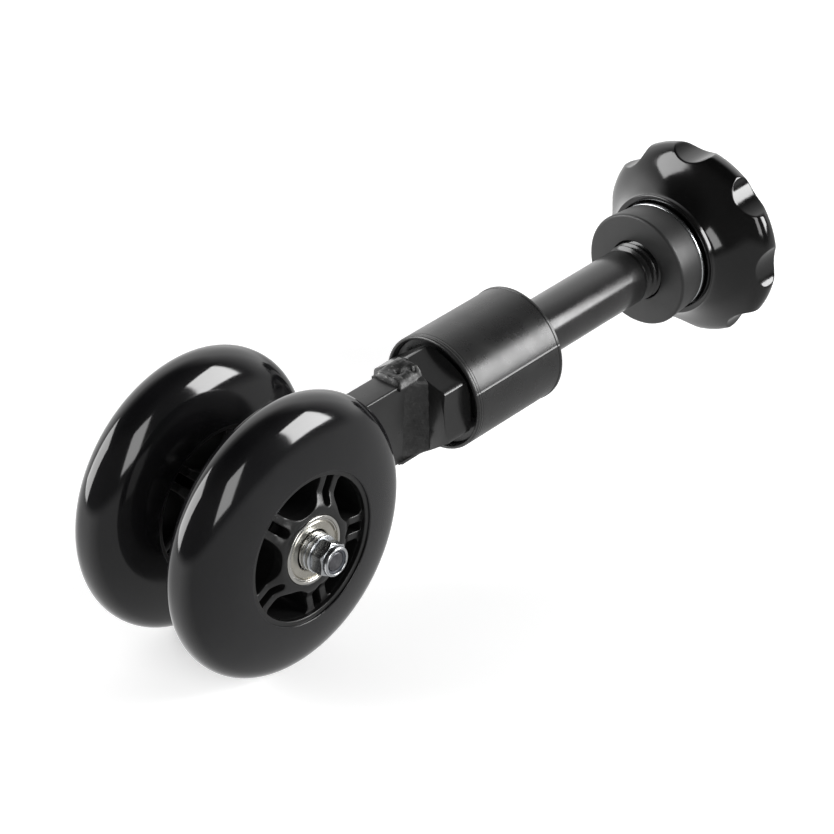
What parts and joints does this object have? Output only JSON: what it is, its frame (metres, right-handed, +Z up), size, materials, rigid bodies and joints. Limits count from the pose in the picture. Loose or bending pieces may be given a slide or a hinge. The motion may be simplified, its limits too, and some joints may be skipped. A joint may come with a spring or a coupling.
{
  "type": "wheel dolly",
  "caption": "Twin-wheel dolly arm: two bearing wheels on a flat bar welded to a hex bolt, with a rubber sleeve, rubber pad and star knob that clamp on its shank.",
  "frame": {"origin": "on the hex bolt's axis, in the plane of the rubber sleeve's clamping face", "axes": "+X along the bolt towards the knob, +Y along the wheel axle, +Z up"},
  "size_m": [0.2681, 0.079, 0.09],
  "materials": {
    "tyre_pu": "glossy black cast polyurethane, turned on the crown",
    "core_plastic": "satin black moulded nylon",
    "bearing_steel": "ground bearing steel, bright",
    "shield_steel": "pressed zinc-plated sheet, satin",
    "ball_steel": "polished steel balls",
    "zinc_steel": "bright zinc plate",
    "black_bar": "black powder coat over mill scale",
    "weld_metal": "black coat worn to bright steel on the bead",
    "black_bolt": "semi-gloss black oxide and oil",
    "sleeve_rubber": "satin moulded black rubber",
    "pad_rubber": "matte black rubber",
    "knob_plastic": "high-gloss black phenolic",
    "nylon_blue": "natural nylon locking ring"
  },
  "bodies": {
    "frame": {"flat_bar": "black_bar", "weld_bead": "weld_metal", "hex_bolt": "black_bolt", "rubber_sleeve": "sleeve_rubber", "axle_bolt": "zinc_steel", "lock_nut": "zinc_steel", "nut_insert": "nylon_blue", "axle_washers": "zinc_steel", "bar_spacers": "zinc_steel", "near_inner_races": "bearing_steel", "near_bearing_spacer": "zinc_steel", "far_inner_races": "bearing_steel", "far_bearing_spacer": "zinc_steel"},
    "near_wheel": {"near_tyre": "tyre_pu", "near_core": "core_plastic", "near_outer_races": "bearing_steel", "near_shields": "shield_steel", "near_snap_rings": "bearing_steel"},
    "near_ball_set": {"near_balls": "ball_steel", "near_cages": "shield_steel"},
    "far_wheel": {"far_tyre": "tyre_pu", "far_core": "core_plastic", "far_outer_races": "bearing_steel", "far_shields": "shield_steel", "far_snap_rings": "bearing_steel"},
    "far_ball_set": {"far_balls": "ball_steel", "far_cages": "shield_steel"},
    "pad": {"rubber_pad": "pad_rubber", "pad_washer": "zinc_steel"},
    "knob": {"star_knob": "knob_plastic", "knob_insert": "zinc_steel"}
  },
  "joints": [
    {"name": "near_wheel_spin", "type": "hinge", "parent": "frame", "child": "near_wheel", "pos_m": [-0.126, 0, 0], "axis": [0, 1, 0], "continuous": true},
    {"name": "near_balls_roll", "type": "hinge", "parent": "frame", "child": "near_ball_set", "pos_m": [-0.126, 0, 0], "axis": [0, 1, 0], "continuous": true},
    {"name": "far_wheel_spin", "type": "hinge", "parent": "frame", "child": "far_wheel", "pos_m": [-0.126, 0, 0], "axis": [0, 1, 0], "continuous": true},
    {"name": "far_balls_roll", "type": "hinge", "parent": "frame", "child": "far_ball_set", "pos_m": [-0.126, 0, 0], "axis": [0, 1, 0], "continuous": true},
    {"name": "pad_travel", "type": "slide", "parent": "frame", "child": "pad", "axis": [1, 0, 0], "range_m": [-0.02, 0.01]},
    {"name": "knob_turn", "type": "hinge", "parent": "pad", "child": "knob", "pos_m": [0, 0, 0], "axis": [1, 0, 0], "range_deg": [-2880, 1440]}
  ],
  "couplings": [
    {"joint": "near_balls_roll", "follows": "near_wheel_spin", "ratio": 0.6323},
    {"joint": "far_balls_roll", "follows": "far_wheel_spin", "ratio": 0.6323},
    {"joint": "pad_travel", "follows": "knob_turn", "m_per_rad": 0.00039789}
  ]
}
